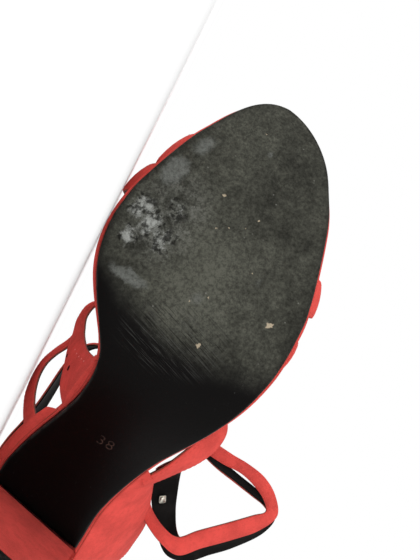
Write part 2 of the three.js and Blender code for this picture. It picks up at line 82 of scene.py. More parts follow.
# As in the part's source: millimetres, degrees for slopes and skew, shares, and a power for the roundness
SOLE_LENGTH = 251
BALL_WIDTH = 81
HEEL_RISE = 68
SEAT_SLOPE = 17
TOE_SLOPE = 14
UPPER_HEIGHT = 60
OUTSOLE_THICKNESS = 3
INSOLE_THICKNESS = 3
LEATHER = 1.8
BINDING_THICKNESS = 1.3
BINDING_LIP = 0.5
BREAST_AT = 39
BREAST_SKEW = 10
HEEL_TIP_HEIGHT = 6
HEEL_TAPER = 0.86
HEEL_LEAN = 3
HEEL_WAIST = 0.05
GAP = 0.3
SEAT_SIDE = -0.062
TOE_SIDE = -0.074
SEAT_ROUND = 0.1
TOE_ROUND = 0.12
ROUNDNESS = 2.2
TREAD_AT = 0.7
HEEL_CENTRE_AT = 0.09
HEEL_REACH = 0.23
COUNTER_CROWN = -2.5
INSOLE_LOW = OUTSOLE_THICKNESS + GAP
BINDING_OUT = GAP + BINDING_THICKNESS / 2

# Steps of the walk along the sole, and sections of a sole layer and of the binding
WALK = 251
STATIONS = 170
RIM_STATIONS = 50

# Points round half a heel, and the levels of the whole heel
HEEL_STEPS = 40
HEEL_LEVELS = 13

# What only the dressed sandal has, in millimetres: rounded edges, and depths below the strap's red face
OUTSOLE_BEVEL = 0.9
INSOLE_BEVEL = 0.05
TIP_BEVEL = 0.5
STITCH_DEPTH = 0.04
HOLE_DEPTH = 0.05
HOLE_THICKNESS = 0.3
STUD_BEVEL = 0.3

# Share by which the tip's flat faces are drawn in
TIP_DRAWN_IN = 0.025

# Foot of the outer panel: from and to as shares of the length, then its lean and rise in millimetres
PANEL_FOOT = (0.300, 0.450)
PANEL_LEAN = 2.6
PANEL_LOW_RISE = 1.5
PANEL_RISE = 5

# The stamped number: its middle as a share of the length and in millimetres to the outer side
NUMBER_AT = 0.342
NUMBER_SIDE = 2.6
FIGURE_SHARE = 0.72

# The sole's, the straps' and the counter's tables are in thousandths.
# Share of the length, then the parts of the seat slope, of the shank slope and of the toe slope
SLOPES = np.array([
    [0, 1000, 0, 0],
    [180, 1000, 0, 0],
    [260, 550, 450, 0],
    [380, 0, 1000, 0],
    [500, 0, 720, 0],
    [600, 0, 120, 0],
    [635, 0, 0, 0],
    [785, 0, 0, 0],
    [905, 0, 0, 640],
    [1000, 0, 0, 1000],
]) / 1000

# Share of the length, then the inner and the outer edge as shares of the ball width
OUTLINE = np.array([
    [0, -300, 175],
    [60, -318, 192],
    [120, -334, 200],
    [200, -342, 196],
    [240, -321, 212],
    [280, -288, 238],
    [320, -250, 266],
    [360, -217, 297],
    [400, -195, 336],
    [440, -190, 378],
    [480, -207, 420],
    [520, -272, 456],
    [560, -358, 482],
    [600, -431, 501],
    [640, -474, 508],
    [680, -492, 506],
    [720, -489, 487],
    [760, -467, 457],
    [800, -438, 423],
    [850, -395, 375],
    [900, -340, 306],
    [950, -309, 264],
    [1000, -296, 222],
]) / 1000

# Strap rows: share of the length, share of the ball width and share of the upper's height over the sole,
# first for the strap's lower edge and then for its upper edge
INSTEP_STRAP = np.array([
    [475, -207, 60, 360, -232, 60],
    [480, -245, 240, 390, -310, 340],
    [485, -290, 420, 430, -355, 540],
    [500, -340, 620, 470, -400, 720],
    [520, -385, 800, 500, -425, 860],
    [550, -425, 960, 530, -455, 980],
    [580, -410, 1040, 565, -455, 1080],
    [605, -300, 1120, 590, -330, 1200],
    [610, -120, 1180, 590, -140, 1280],
    [600, 120, 1180, 580, 120, 1280],
    [570, 350, 1060, 550, 370, 1160],
    [527, 500, 880, 522, 550, 980],
    [485, 500, 660, 494, 592, 780],
    [452, 450, 460, 455, 590, 680],
    [405, 400, 280, 405, 540, 540],
    [355, 350, 140, 348, 440, 360],
    [310, 290, 80, 300, 330, 160],
]) / 1000
INNER_LOOP = np.array([
    [490, -400, 780, 510, -412, 880],
    [470, -418, 800, 488, -432, 900],
    [440, -460, 840, 452, -482, 970],
    [408, -485, 850, 408, -522, 990],
    [370, -483, 800, 357, -525, 920],
    [337, -455, 700, 314, -500, 790],
    [312, -410, 550, 288, -453, 630],
    [298, -360, 400, 270, -400, 460],
    [288, -310, 220, 262, -348, 220],
]) / 1000
ANKLE_FRONT = np.array([
    [20, -430, 780, 10, -400, 950],
    [110, -478, 880, 100, -440, 1020],
    [195, -482, 1000, 175, -428, 1120],
    [240, -462, 1050, 220, -402, 1150],
    [290, -445, 1130, 265, -395, 1220],
    [355, -440, 1290, 330, -400, 1370],
    [422, -440, 1510, 395, -408, 1570],
    [475, -425, 1690, 455, -397, 1770],
    [510, -375, 1800, 505, -350, 1900],
    [528, -200, 1800, 538, -190, 1910],
    [522, 100, 1700, 545, 100, 1810],
    [480, 380, 1500, 510, 400, 1600],
    [430, 600, 1300, 465, 640, 1380],
    [422, 780, 1220, 458, 800, 1310],
    [426, 910, 1180, 458, 930, 1270],
    [416, 1020, 1130, 450, 1060, 1220],
    [397, 1110, 1050, 424, 1166, 1130],
    [374, 1150, 960, 380, 1232, 990],
    [348, 1080, 840, 323, 1166, 820],
    [302, 960, 710, 272, 1037, 690],
    [252, 812, 600, 225, 885, 580],
    [222, 722, 540, 192, 775, 520],
    [222, 635, 570, 198, 630, 500],
    [235, 535, 640, 218, 485, 570],
    [252, 470, 670, 234, 405, 570],
]) / 1000
ANKLE_BACK = np.array([
    [395, 440, 360, 335, 350, 300],
    [372, 520, 740, 318, 400, 600],
    [340, 578, 1000, 290, 450, 840],
    [297, 630, 980, 252, 500, 840],
    [250, 690, 880, 214, 590, 800],
    [214, 770, 760, 168, 760, 760],
    [214, 850, 740, 176, 900, 780],
    [240, 940, 770, 210, 1010, 820],
    [280, 1050, 830, 248, 1125, 880],
    [340, 1190, 960, 318, 1260, 1020],
    [366, 1210, 1040, 372, 1262, 1100],
    [382, 1150, 1080, 402, 1170, 1180],
    [388, 1060, 1120, 410, 1070, 1240],
    [396, 920, 1160, 418, 920, 1300],
    [404, 760, 1200, 430, 770, 1340],
    [420, 600, 1260, 455, 620, 1400],
]) / 1000
TOE_STRAP = np.array([
    [800, -440, 80, 865, -380, 80],
    [795, -490, 220, 865, -428, 200],
    [770, -420, 440, 845, -350, 380],
    [745, -220, 620, 815, -160, 550],
    [715, 0, 700, 780, 50, 640],
    [680, 230, 700, 745, 270, 620],
    [645, 440, 560, 702, 460, 460],
    [620, 545, 320, 672, 555, 240],
    [610, 510, 80, 662, 512, 80],
]) / 1000
BALL_STRAP = np.array([
    [725, -492, 80, 785, -452, 80],
    [725, -543, 220, 785, -500, 200],
    [735, -450, 500, 795, -410, 420],
    [745, -220, 660, 805, -190, 580],
    [750, 20, 700, 812, 30, 620],
    [745, 250, 640, 805, 240, 560],
    [730, 470, 440, 790, 430, 360],
    [715, 562, 240, 775, 512, 220],
    [705, 498, 80, 765, 452, 80],
]) / 1000

# Heel counter: inner side -1000 or outer side 1000, where its foot stands along the sole's edge, then its
# top edge as in the strap rows
COUNTER = np.array([
    [-1000, 335, 335, -290, 140],
    [-1000, 290, 285, -345, 190],
    [-1000, 240, 232, -378, 220],
    [-1000, 180, 168, -395, 300],
    [-1000, 120, 100, -440, 660],
    [-1000, 60, 40, -430, 860],
    [-1000, 18, -10, -330, 900],
    [1000, 0, -38, -80, 920],
    [1000, 18, -20, 230, 940],
    [1000, 60, 40, 450, 940],
    [1000, 105, 105, 550, 900],
    [1000, 150, 155, 555, 820],
    [1000, 205, 210, 530, 680],
    [1000, 250, 256, 470, 620],
    [1000, 295, 297, 405, 480],
    [1000, 325, 326, 348, 240],
]) / 1000

# Each strap: its rows, its crown in millimetres and the side of its red face
STRAPS = {
    "instep_strap": (INSTEP_STRAP, 1.0, 1),
    "inner_loop": (INNER_LOOP, -0.7, -1),
    "ankle_strap_front": (ANKLE_FRONT, 0.7, 1),
    "ankle_strap_back": (ANKLE_BACK, 0.7, 1),
    "toe_strap": (TOE_STRAP, -1.0, -1),
    "ball_strap": (BALL_STRAP, -1.0, -1),
}

# Holes in the instep strap's inner wing: share of its run, share across and radius in millimetres.
# The first table's holes are dark, and the second's are pale pricks.
DARK_HOLES = [
    [0.088, 0.62, 1.15],
    [0.150, 0.80, 0.75],
]
PALE_PRICKS = [
    [0.150, 0.36, 0.32],
    [0.126, 0.30, 0.32],
    [0.102, 0.25, 0.32],
    [0.078, 0.21, 0.32],
    [0.054, 0.18, 0.32],
]


# Shape of the sole

def along(table, column, at):
    """A table column at any share, by a curve that never overshoots its rows."""
    x, y = table[:, 0], table[:, column]
    row = np.searchsorted(x[1:-1], at, side="left")
    step = np.diff(y) / np.diff(x)
    lean = np.empty(len(x))
    lean[0], lean[-1] = step[0], step[-1]
    product = step[:-1] * step[1:]
    total = np.where(product > 0, step[:-1] + step[1:], 1)
    lean[1:-1] = np.where(product > 0, 2 * product / total, 0)
    span = x[row + 1] - x[row]
    t = (at - x[row]) / span
    ends = y[row] * (1 + 2 * t) * (1 - t) ** 2 + y[row + 1] * t * t * (3 - 2 * t)
    return ends + span * (lean[row] * t * (1 - t) ** 2 - lean[row + 1] * t * t * (1 - t))


def walk_sole(shank_slope):
    """The sole's long curve: fore, up and slope from the back of the seat to the toe."""
    at = (np.arange(1, WALK + 1) - 0.5) / WALK
    degrees = SEAT_SLOPE * along(SLOPES, 1, at) + shank_slope * along(SLOPES, 2, at)
    slope = np.radians(degrees - TOE_SLOPE * along(SLOPES, 3, at))
    step = SOLE_LENGTH / WALK
    fore = np.concatenate([[0], np.cumsum(step * np.cos(slope))])
    up = np.concatenate([[0], -np.cumsum(step * np.sin(slope))])
    return fore, up - up[round(TREAD_AT * WALK)], np.concatenate([[math.radians(SEAT_SLOPE)], slope])


def solve_sole():
    """The sole's curve with the shank slope, found by halving, that gives the heel its rise."""
    low, high = 0.0, 80.0
    for _ in range(40):
        middle = (low + high) / 2
        if walk_sole(middle)[1][0] > HEEL_RISE:
            high = middle
        else:
            low = middle
    return walk_sole(low)


SOLE = solve_sole()


def sole_at(at):
    """Fore, up and slope of the sole at a share of its length, running straight on beyond its ends."""
    on = np.clip(at, 0, 1)
    fore, up, slope = (np.interp(on * WALK, np.arange(WALK + 1), column) for column in SOLE)
    beyond = (at - on) * SOLE_LENGTH
    return fore + beyond * np.cos(slope), up - beyond * np.sin(slope), slope


BREAST_FORE = sole_at(BREAST_AT / SOLE_LENGTH)[0]


def edge_side(side, at):
    """Distance of the sole's edge from the middle line, round at the seat and the toe."""
    square = along(OUTLINE, 1 if side < 0 else 2, at)
    middle = np.where(at > 0.5, TOE_SIDE, SEAT_SIDE)
    in_round = np.maximum(0, np.maximum((at - 1) / TOE_ROUND + 1, 1 - at / SEAT_ROUND))
    width = np.sqrt(np.maximum(0, 1 - in_round ** ROUNDNESS))
    return BALL_WIDTH * (middle + (square - middle) * width)


def over_sole(at, side, height):
    """Points over the sole: share of the length, distance to the side, height square to the sole."""
    fore, up, slope = sole_at(at)
    return np.stack([fore + height * np.sin(slope), side + 0 * fore, up + height * np.cos(slope)], -1)


def strap_points(rows):
    fore, up, _ = sole_at(rows[:, 0])
    return np.stack([fore, rows[:, 1] * BALL_WIDTH, up + rows[:, 2] * UPPER_HEIGHT], -1)


def rim_point(side, at, out, height):
    """A point outside the sole's edge, pushed out square to the outline in plan."""
    back, front = max(0, at - 0.004), min(1, at + 0.004)
    run = (front - back) * SOLE_LENGTH
    drift = edge_side(side, front) - edge_side(side, back)
    push = side * out / math.hypot(run, drift)
    return over_sole(at - push * drift / SOLE_LENGTH, edge_side(side, at) + push * run, height)


def station(i, count):
    """Shares of the length that lie closer together at the seat and the toe."""
    return (1 - math.cos(math.pi * i / count)) / 2


def curve_points(points, shares, closed=False):
    """A smooth centripetal curve through the points, at shares of its run."""
    count = len(points)
    place = (count if closed else count - 1) * shares
    first = np.floor(place).astype(int)
    if not closed:
        first = np.minimum(first, count - 2)
    weight = (place - first)[:, None]
    if closed:
        around = [points[(first + k) % count] for k in (-1, 0, 1, 2)]
    else:
        ends = np.vstack([2 * points[0] - points[1], points, 2 * points[-1] - points[-2]])
        around = [ends[first + k] for k in range(4)]
    p0, p1, p2, p3 = around
    d0, d1, d2 = (np.maximum(np.linalg.norm(b - a, axis=1, keepdims=True) ** 0.5, 1e-4)
                  for a, b in ((p0, p1), (p1, p2), (p2, p3)))
    t1 = ((p1 - p0) / d0 - (p2 - p0) / (d0 + d1) + (p2 - p1) / d1) * d1
    t2 = ((p2 - p1) / d1 - (p3 - p1) / (d1 + d2) + (p3 - p2) / d2) * d1
    square = (-3 * p1 + 3 * p2 - 2 * t1 - t2) * weight ** 2
    return p1 + t1 * weight + square + (2 * p1 - 2 * p2 + t1 + t2) * weight ** 3


class Strip:
    """A leather strip between a lower and an upper edge."""

    def __init__(self, lower, upper, crown, facing, closed=False):
        self.lower = lower
        self.upper = upper
        self.crown = crown
        self.facing = facing
        self.closed = closed

    def edges(self, shares):
        """Points of both edges at shares of the run, with the leather's normals."""
        low = curve_points(self.lower, shares, self.closed)
        high = curve_points(self.upper, shares, self.closed)
        near, far = shares - 1e-4, shares + 1e-4
        if not self.closed:
            near, far = np.maximum(near, 0), np.minimum(far, 1)
        tangent = 0
        for edge in (self.lower, self.upper):
            way = curve_points(edge, far, self.closed) - curve_points(edge, near, self.closed)
            tangent = tangent + way / np.linalg.norm(way, axis=1, keepdims=True)
        normal = np.cross(tangent, high - low)
        return low, high, normal / np.linalg.norm(normal, axis=1, keepdims=True)

    def surface(self, share, across, lift):
        """Points at shares of the run and of the width, lifted off the middle towards the red face."""
        low, high, normal = self.edges(np.atleast_1d(share))
        across = across[:, None]
        bulge = 4 * self.crown * across * (1 - across)
        return low + (high - low) * across + normal * (bulge + self.facing * lift), normal * self.facing


def strap_strip(name):
    rows, crown, facing = STRAPS[name]
    return Strip(strap_points(rows[:, :3]), strap_points(rows[:, 3:]), crown, facing)


def counter_strip():
    low = [rim_point(row[0], row[1], GAP + LEATHER / 2, INSOLE_LOW) for row in COUNTER]
    high = strap_points(COUNTER[:, 2:])
    return Strip(np.array(low), high, COUNTER_CROWN, -1)


def wing_tuck_strip():
    """The turned-in foot of the instep strap's inner wing, from the binding up into the wing."""
    across = np.linspace(0, 1, 12)
    start, _, _, end, _, _ = INSTEP_STRAP[0]
    low = [rim_point(-1, at, BINDING_OUT, INSOLE_LOW) for at in start + (end - start) * across]
    high = strap_strip("instep_strap").surface(0.03, across, 0)[0]
    return Strip(np.array(low), high, 0, -1)


def panel_tuck_strip():
    """The turned-in foot of the instep strap's outer panel, which leans out from the binding."""
    share = np.linspace(0, 1, 14)
    low, high = [], []
    for at, more in zip(np.interp(share, (0, 1), PANEL_FOOT), np.sin(np.pi * share) ** 0.7):
        top = INSOLE_LOW + PANEL_LOW_RISE + PANEL_RISE * more
        low.append(rim_point(1, at, BINDING_OUT, INSOLE_LOW))
        high.append(rim_point(1, at, BINDING_OUT + PANEL_LEAN * more, top))
    return Strip(np.array(low), np.array(high), 0, -1)


def rim_strip():
    """The binding, closed round the insole and thick enough to reach it."""
    low, high = [], []
    out = (GAP + BINDING_THICKNESS) / 2
    top = INSOLE_LOW + INSOLE_THICKNESS + BINDING_LIP
    around = range(1, RIM_STATIONS)
    for side, steps in ((1, around), (-1, reversed(around))):
        for i in steps:
            at = station(i, RIM_STATIONS)
            low.append(rim_point(side, at, out, OUTSOLE_THICKNESS + GAP / 2))
            high.append(rim_point(side, at, out, top))
    return Strip(np.array(low), np.array(high), 0, -1, closed=True)


# Making meshes

def laid(points):
    """Points of the shoe's own frame in millimetres, in the row frame in metres."""
    return (np.asarray(points, float) @ LAID + PLACE) / 1000


def new_object(name, data):
    obj = bpy.data.objects.new(name, data)
    bpy.context.scene.collection.objects.link(obj)
    return obj


def finish_piece(obj, *nodes, slot="red_suede"):
    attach(obj, BODY)
    if nodes:
        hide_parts(*nodes)


def dress(mesh, *materials):
    mesh.materials.clear()
    for material in materials:
        mesh.materials.append(bpy.data.materials[material])


def mesh_piece(name, points, faces, materials, sharp, slots=None, uv=None):
    """A mesh object at the origin, with its place in its mesh and its faces turned out."""
    points = np.asarray(points, float)
    volume = sum(np.dot(points[face[0]], np.cross(points[b], points[c]))
                 for face in faces for b, c in zip(face[1:-1], face[2:]))
    if volume < 0:
        faces = [face[::-1] for face in faces]
    mesh = bpy.data.meshes.new(name)
    mesh.from_pydata(laid(points).tolist(), [], faces)
    dress(mesh, *materials)
    if slots is not None:
        mesh.polygons.foreach_set("material_index", slots)
    if uv is not None:
        layer = mesh.uv_layers.new(name="shoe")
        index = np.empty(len(mesh.loops), int)
        mesh.loops.foreach_get("vertex_index", index)
        layer.data.foreach_set("uv", np.asarray(uv, np.float32)[index].ravel())
    mesh.shade_smooth()
    mesh.set_sharp_from_angle(angle=math.radians(sharp))
    return new_object(name, mesh)


def loft_faces(rings, count, closed=False):
    """Quads round rings of equally many points, with flat ends unless the rings close on each other."""
    faces = []
    for r in range(rings if closed else rings - 1):
        here, there = r * count, (r + 1) % rings * count
        for k in range(count):
            n = (k + 1) % count
            faces.append([here + k, here + n, there + n, there + k])
    if not closed:
        faces.append(list(range(count))[::-1])
        faces.append([(rings - 1) * count + k for k in range(count)])
    return faces


def ring_piece(name, rings, material, sharp, uv=None):
    faces = loft_faces(len(rings), len(rings[0]))
    return mesh_piece(name, np.concatenate(rings), faces, [material], sharp, uv=uv)


# The strip's section: share across, inset in millimetres, height as a share of half the thickness.
# Its first eleven points carry the red face, the next eleven the lining.
FACE_SHARES = (0.0, 0.0, 0.0, 0.14, 0.32, 0.5, 0.68, 0.86, 1.0, 1.0, 1.0)
FACE_INSETS = (0.0, 0.18, 0.6, 0.0, 0.0, 0.0, 0.0, 0.0, -0.6, -0.18, 0.0)
FACE_LEVELS = (0.35, 0.84, 1.0, 1.0, 1.0, 1.0, 1.0, 1.0, 1.0, 0.84, 0.35)


def strip_piece(name, strip, steps, materials, thickness=LEATHER):
    """A strip with rounded red edges, a red face and a lining."""
    shares = np.arange(steps) / steps if strip.closed else np.linspace(0, 1, steps + 1)
    low, high, normal = strip.edges(shares)
    across = (high - low) / np.linalg.norm(high - low, axis=1, keepdims=True)
    run = np.concatenate([[0], np.cumsum(np.linalg.norm(np.diff((low + high) / 2, axis=0), axis=1))])
    section = list(zip(FACE_SHARES, FACE_INSETS, FACE_LEVELS))
    section += [(w, inset, -level) for w, inset, level in reversed(section)]
    w, inset, level = np.array(section).T[:, :, None]
    rise = 4 * strip.crown * w * (1 - w) + strip.facing * level * thickness / 2
    points, uv = [], []
    for row, width in enumerate(high - low):
        points += list(low[row] + width * w + across[row] * inset + normal[row] * rise)
        uv += [(run[row] / 1000, share * np.linalg.norm(width) / 1000) for share in w[:, 0]]
    faces = loft_faces(len(shares), len(section), strip.closed)
    side = len(FACE_SHARES) - 1
    slots = ([0] * side + [2] + [1] * side + [2]) * steps + ([] if strip.closed else [0, 0])
    return mesh_piece(name, points, faces, materials, sharp=50, slots=slots, uv=uv)


def sole_piece(name, low, high, bevel, material):
    """A layer of the sole with rounded lower edges and finely divided faces."""
    rings, uv, rim = [], [], []
    turn = np.radians([0, 30, 60, 90])
    grid = np.linspace(0, 1, 13)[1:-1]
    for i in range(1, STATIONS):
        at = station(i, STATIONS)
        inner, outer = edge_side(-1, at), edge_side(1, at)
        cut = min(bevel, (outer - inner) / 3)
        below, above = cut * (1 - np.sin(turn)), cut * (1 - np.cos(turn))
        ring = [(inner + a, low + b) for a, b in zip(above, below)]
        ring += [(inner + cut + (outer - inner - 2 * cut) * g, low) for g in grid]
        ring += [(outer - a, low + b) for a, b in zip(above[::-1], below[::-1])]
        ring += [(outer, high), (inner, high)]
        rings.append([over_sole(at, side, height) for side, height in ring])
        uv += [(at * SOLE_LENGTH / 1000, side / 1000) for side, _ in ring]
        rim += [min(side - inner, outer - side, (1 - at) * SOLE_LENGTH) / 1000 for side, _ in ring]
    piece = ring_piece(name, rings, material, sharp=50, uv=uv)
    piece.data.attributes.new("rim_distance", "FLOAT", "POINT").data.foreach_set("value", rim)
    return piece


def heel_ring(level, low):
    """One level of the heel over its low end: the seat's outline drawn in and cut at the breast."""
    centre = sole_at(HEEL_CENTRE_AT)[0]
    shrink = (HEEL_TAPER + (1 - HEEL_TAPER) * level) * (1 - HEEL_WAIST * math.sin(math.pi * level))
    ring = []
    for i in range(-HEEL_STEPS, HEEL_STEPS + 1):
        at = HEEL_REACH * (abs(i) / HEEL_STEPS) ** 2
        seat = over_sole(at, edge_side(-1 if i < 0 else 1, at), OUTSOLE_THICKNESS)
        fore = centre + (seat[0] - centre) * shrink + HEEL_LEAN * (1 - level)
        side = SEAT_SIDE * BALL_WIDTH + (seat[1] - SEAT_SIDE * BALL_WIDTH) * shrink
        breast = BREAST_FORE - side * math.tan(math.radians(BREAST_SKEW))
        top = seat[2]
        if fore > breast:
            fore = breast
            top = min(top, np.interp(breast, SOLE[0], SOLE[1]) + OUTSOLE_THICKNESS)
        ring.append((fore, side, low + (top - low) * level))
    return np.array(ring)


def bmesh_of(obj):
    edit = bmesh.new()
    edit.from_mesh(obj.data)
    return edit


def cut_at_breast(obj):
    """Cuts the outsole off square at the front of the heel."""
    skew = math.radians(BREAST_SKEW)
    normal = np.array([math.cos(skew), math.sin(skew), 0])
    point = laid(np.array([BREAST_FORE, 0, 0]) + normal * GAP)
    edit = bmesh_of(obj)
    everything = edit.verts[:] + edit.edges[:] + edit.faces[:]
    result = bmesh.ops.bisect_plane(edit, geom=everything, plane_co=point, plane_no=normal @ LAID,
                                    clear_inner=True)
    rim = [item for item in result["geom_cut"] if isinstance(item, bmesh.types.BMEdge)]
    bmesh.ops.holes_fill(edit, edges=rim, sides=0)
    edit.to_mesh(obj.data)
    edit.free()


def evaluated_copy(obj):
    """A plain mesh of the object with its modifiers applied, in its place."""
    bpy.context.view_layer.update()
    graph = bpy.context.evaluated_depsgraph_get()
    mesh = bpy.data.meshes.new_from_object(obj.evaluated_get(graph), depsgraph=graph)
    name = obj.name
    bpy.data.objects.remove(obj)
    return new_object(name, mesh)


# Materials

class Wire:
    """A shader socket that takes part in arithmetic."""

    def __init__(self, surface, socket):
        self.surface = surface
        self.socket = socket

    def maths(self, operation, *values):
        return self.surface.node("ShaderNodeMath", {"operation": operation}, dict(enumerate(values)))

    def __add__(self, other):
        return self.maths("ADD", self, other)

    __radd__ = __add__

    def __mul__(self, other):
        return self.maths("MULTIPLY", self, other)

    __rmul__ = __mul__

    def __sub__(self, other):
        return self.maths("SUBTRACT", self, other)

    def __rsub__(self, other):
        return self.maths("SUBTRACT", other, self)

    def least(self, other):
        return self.maths("MINIMUM", self, other)

    def most(self, other):
        return self.maths("MAXIMUM", self, other)

    def ramp(self, low, high):
        """0 under low, 1 over high and smooth between; falls when low is the greater."""
        ends = (high, low, 1.0, 0.0) if low > high else (low, high, 0.0, 1.0)
        settings = {"interpolation_type": "SMOOTHSTEP", "clamp": True}
        return self.surface.node("ShaderNodeMapRange", settings, dict(enumerate((self, *ends))))


class Surface:
    """A material with one Principled shader, built from wires."""

    def __init__(self, name, roughness=0.5, metallic=0.0, sheen=0.0, sheen_tint=(1, 1, 1), specular=0.5):
        if name in bpy.data.materials:
            raise ValueError(f"the frame already has a material named {name}")
        self.material = bpy.data.materials.new(name)
        self.material.use_nodes = True
        self.tree = self.material.node_tree
        self.shader = self.tree.nodes["Principled BSDF"].inputs
        constants = {"Roughness": roughness, "Metallic": metallic, "Specular IOR Level": specular,
                     "Sheen Weight": sheen, "Sheen Roughness": 0.4, "Sheen Tint": sheen_tint}
        for key, value in constants.items():
            self.join(self.shader[key], value)

    def node(self, kind, settings=None, values=None, out=0):
        made = self.tree.nodes.new(kind)
        for key, value in (settings or {}).items():
            setattr(made, key, value)
        for key, value in (values or {}).items():
            self.join(made.inputs[key], value)
        return Wire(self, made.outputs[out])

    def join(self, target, value):
        if isinstance(value, Wire):
            self.tree.links.new(value.socket, target)
        elif target.type == "RGBA" and len(value) == 3:
            target.default_value = (*value, 1)
        else:
            target.default_value = value

    def place(self):
        return self.node("ShaderNodeTexCoord", out="Object")

    def shoe_map(self):
        return self.node("ShaderNodeUVMap", {"uv_map": "shoe"})

    def moved(self, vector, shift=(0, 0, 0), turn=0.0, scale=(1, 1, 1)):
        values = {"Vector": vector, "Location": shift, "Rotation": (0, 0, turn), "Scale": scale}
        return self.node("ShaderNodeMapping", None, values)

    def noise(self, vector, scale, detail=3.0, rough=0.55, out=0):
        values = {"Vector": vector, "Scale": scale, "Detail": detail, "Roughness": rough}
        return self.node("ShaderNodeTexNoise", None, values, out)

    def cells(self, vector, scale, out="Distance"):
        return self.node("ShaderNodeTexVoronoi", None, {"Vector": vector, "Scale": scale}, out)

    def bent(self, vector, by, scale, amount):
        """A vector pushed about by noise, so that patches on it get ragged edges."""
        push = self.noise(by, scale, 4, 0.6, out=1)
        centred = self.moved(vector, (-amount / 2, -amount / 2, 0))
        return self.vector("MULTIPLY_ADD", push, (amount, amount, 0), centred)

    def vector(self, operation, *values, out=0):
        return self.node("ShaderNodeVectorMath", {"operation": operation}, dict(enumerate(values)), out)

    def part(self, vector, axis):
        return self.node("ShaderNodeSeparateXYZ", None, {0: vector}, axis)

    def attribute(self, name):
        return self.node("ShaderNodeAttribute", {"attribute_name": name}, None, "Fac")

    def mix(self, factor, first, second):
        settings = {"data_type": "RGBA"}
        return self.node("ShaderNodeMix", settings, {0: factor, 6: first, 7: second}, 2)

    def spot(self, vector, centre, radii, turn=0.0):
        """1 at the middle of an oval patch of the shoe map and 0 beyond its edge."""
        local = self.moved(vector, (-centre[0], -centre[1], 0))
        local = self.moved(local, turn=-turn)
        local = self.moved(local, scale=(1 / radii[0], 1 / radii[1], 0))
        return self.vector("LENGTH", local, out="Value").ramp(1.0, 0.0)

    def colour(self, value):
        self.join(self.shader["Base Color"], value)

    def rough(self, value):
        self.join(self.shader["Roughness"], value)

    def bump(self, height, strength, depth):
        values = {"Height": height, "Strength": strength, "Distance": depth}
        self.join(self.shader["Normal"], self.node("ShaderNodeBump", None, values))


def scaled(colour, factor):
    return tuple(min(1.0, c * factor) for c in colour)


def red_suede(look):
    suede = Surface("napped_suede", 0.92, sheen=0.03, sheen_tint=(1.0, 0.3, 0.25), specular=0.05)
    place = suede.place()
    nap = suede.noise(place, 95, 5, 0.6)
    stroke = suede.noise(place, 420, 4, 0.65)
    fibre = suede.noise(place, 3000, 2)
    red = tuple(look.red)
    tone = suede.mix(nap.ramp(0.32, 0.68), scaled(red, 0.82), scaled(red, 1.12))
    tone = suede.mix(stroke.ramp(0.45, 0.72) * 0.42, tone, scaled(red, 0.70))
    suede.colour(suede.mix(fibre.ramp(0.35, 0.8) * 0.5, tone, tuple(c * 1.25 + 0.012 for c in red)))
    suede.bump(fibre + nap * 0.5 + stroke * 0.6, 0.4, 0.0004)


def black_lining(look):
    lining = Surface("lining_leather", 0.5, specular=0.05)
    place = lining.place()
    grain = lining.cells(place, 1100)
    wear = lining.noise(place, 110, 5, 0.6)
    dark = tuple(look.lining)
    lining.colour(lining.mix(wear.ramp(0.42, 0.75), dark, scaled(dark, 2.6)))
    lining.rough(0.45 + 0.25 * wear)
    lining.bump(grain, 0.25, 0.0002)


def flecked(surface, scale, low, high, first, second):
    """Gives a surface two tones, mixed by fine noise."""
    fleck = surface.noise(surface.place(), scale, 3).ramp(low, high)
    surface.colour(surface.mix(fleck, first, second))


def small_finishes(look):
    yarn = Surface("red_thread", 0.8, sheen=0.1, specular=0.2)
    twist = yarn.noise(yarn.place(), 2500, 2)
    yarn.colour(yarn.mix(twist, scaled(look.red, 0.72), scaled(look.red, 0.98)))
    edge = Surface("cut_edge", 0.8, specular=0.15)
    flecked(edge, 900, 0.35, 0.7, tuple(look.edge), scaled(look.red, 0.6))
    flecked(Surface("stamped_line", 0.8, specular=0.1), 700, 0.35, 0.65,
            (0.016, 0.010, 0.008), (0.060, 0.032, 0.025))
    flecked(Surface("tip_rubber", 0.6, specular=0.12), 500, 0.4, 0.7,
            (0.007, 0.0065, 0.006), (0.018, 0.0175, 0.016))
    flecked(Surface("stud_metal", 0.34, metallic=1.0), 1500, 0.4, 0.7,
            (0.74, 0.71, 0.62), (0.50, 0.46, 0.37))
    Surface("punched_dark", 0.9, specular=0.05).colour((0.030, 0.005, 0.006))
    Surface("pricked_pale", 0.9, specular=0.1).colour((0.72, 0.22, 0.19))


